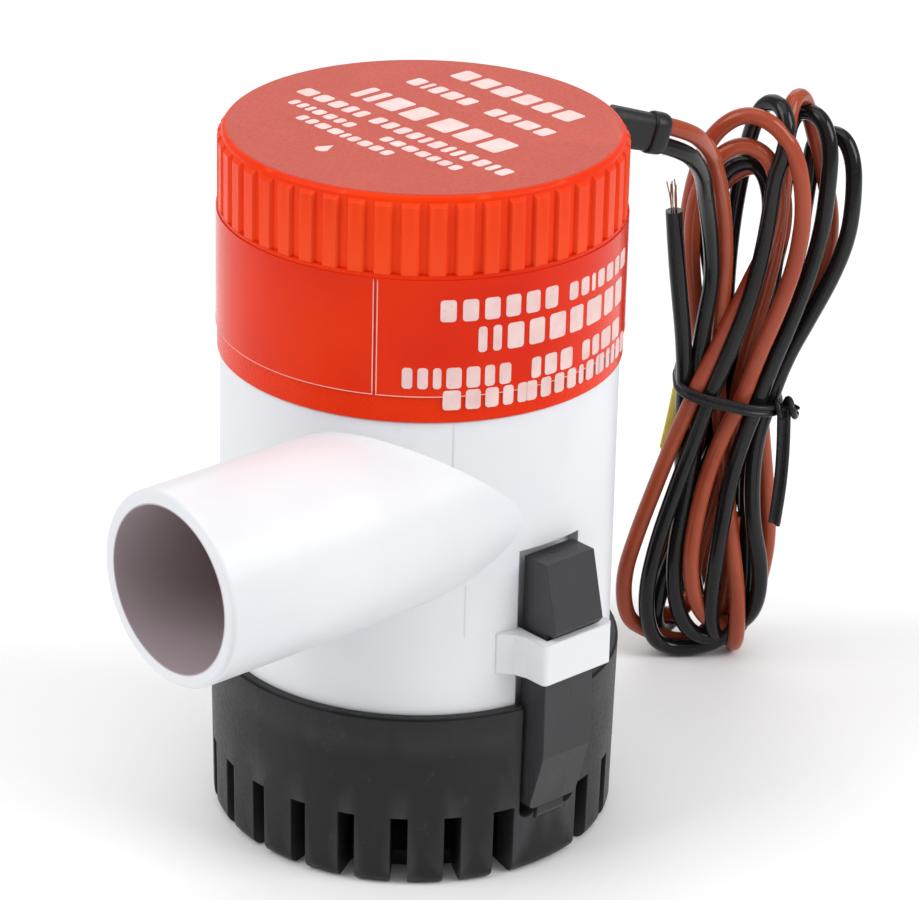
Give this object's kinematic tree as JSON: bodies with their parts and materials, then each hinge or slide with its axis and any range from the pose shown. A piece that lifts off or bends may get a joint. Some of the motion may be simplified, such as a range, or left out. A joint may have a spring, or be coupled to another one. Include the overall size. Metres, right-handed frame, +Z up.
{
  "type": "submersible bilge pump",
  "caption": "Submersible cartridge bilge pump: slotted strainer base with snap latches, tangential hose spigot, ribbed motor cap and tied electrical leads.",
  "frame": {"origin": "centre of the strainer base's underside, on the motor's axis", "axes": "+Z up along the motor's shaft, +X along the hose spigot towards its mouth, the two latches on +Y and -Y"},
  "size_m": [0.1451, 0.0722, 0.109],
  "materials": {
    "base_plastic": "moulded black plastic, fine satin",
    "body_plastic": "moulded bluish white plastic, satin gloss",
    "housing_plastic": "orange-red plastic, glossy",
    "cap_plastic": "orange-red plastic, satin",
    "label_film": null,
    "seal_rubber": "black rubber",
    "boot_rubber": "black rubber, satin",
    "sleeve_rubber": "black rubber, satin",
    "shaft_steel": "ground stainless steel",
    "can_steel": "plated steel",
    "core_steel": "laminated steel",
    "impeller_plastic": "glass-filled plastic",
    "winding_copper": "enamelled copper wire",
    "commutator_copper": "bare copper",
    "bearing_bronze": "sintered bronze",
    "terminal_brass": "brass strip",
    "magnet_ferrite": "ferrite",
    "brush_carbon": "carbon",
    "plate_plastic": "natural plastic",
    "lead_brown_vinyl": "brown vinyl insulation",
    "lead_black_vinyl": "black vinyl insulation",
    "strand_copper": "bare tinned copper strands",
    "tie_plastic": "black plastic-covered tie",
    "marker_plastic": "yellow plastic"
  },
  "bodies": {
    "base": {"strainer_base": "base_plastic"},
    "latch_left": {"latch_finger_left": "base_plastic"},
    "latch_right": {"latch_finger_right": "base_plastic"},
    "pump": {"pump_body": "body_plastic", "volute_plate": "body_plastic", "motor_housing": "housing_plastic", "housing_o_ring": "seal_rubber", "motor_cap": "cap_plastic", "label_wrap": "label_film", "cable_boot": "boot_rubber", "lead_sleeve": "sleeve_rubber", "motor_can": "can_steel", "magnets": "magnet_ferrite", "lower_bearing": "bearing_bronze", "upper_bearing": "bearing_bronze", "brush_plate": "plate_plastic", "brushes": "brush_carbon", "brush_springs": "shaft_steel", "shaft_seal": "seal_rubber", "seal_washer": "shaft_steel", "terminals": "terminal_brass", "inner_leads": "strand_copper", "wire_hank": "lead_black_vinyl", "twist_tie": "tie_plastic", "lead_strands": "strand_copper", "marker_sleeve": "marker_plastic", "lead_brown": "lead_brown_vinyl", "lead_black": "lead_black_vinyl", "lead_free_end": "lead_black_vinyl"},
    "rotor": {"motor_shaft": "shaft_steel", "impeller": "impeller_plastic", "armature_core": "core_steel", "armature_windings": "winding_copper", "commutator": "commutator_copper"}
  },
  "joints": [
    {"name": "latch_left_press", "type": "hinge", "parent": "base", "child": "latch_left", "pos_m": [0, 0.03, 0.0096], "axis": [1, 0, 0], "range_deg": [0, 2.6], "stiffness_Nm_per_rad": 0.6, "deforming": ["latch_finger_left"]},
    {"name": "latch_right_press", "type": "hinge", "parent": "base", "child": "latch_right", "pos_m": [0, -0.03, 0.0096], "axis": [-1, 0, 0], "range_deg": [0, 2.6], "stiffness_Nm_per_rad": 0.6, "deforming": ["latch_finger_right"]},
    {"name": "pump_lift", "type": "slide", "parent": "base", "child": "pump", "axis": [0, 0, 1], "range_m": [0, 0.045]},
    {"name": "rotor_spin", "type": "hinge", "parent": "pump", "child": "rotor", "pos_m": [0, 0, 0.07], "axis": [0, 0, 1], "continuous": true}
  ]
}
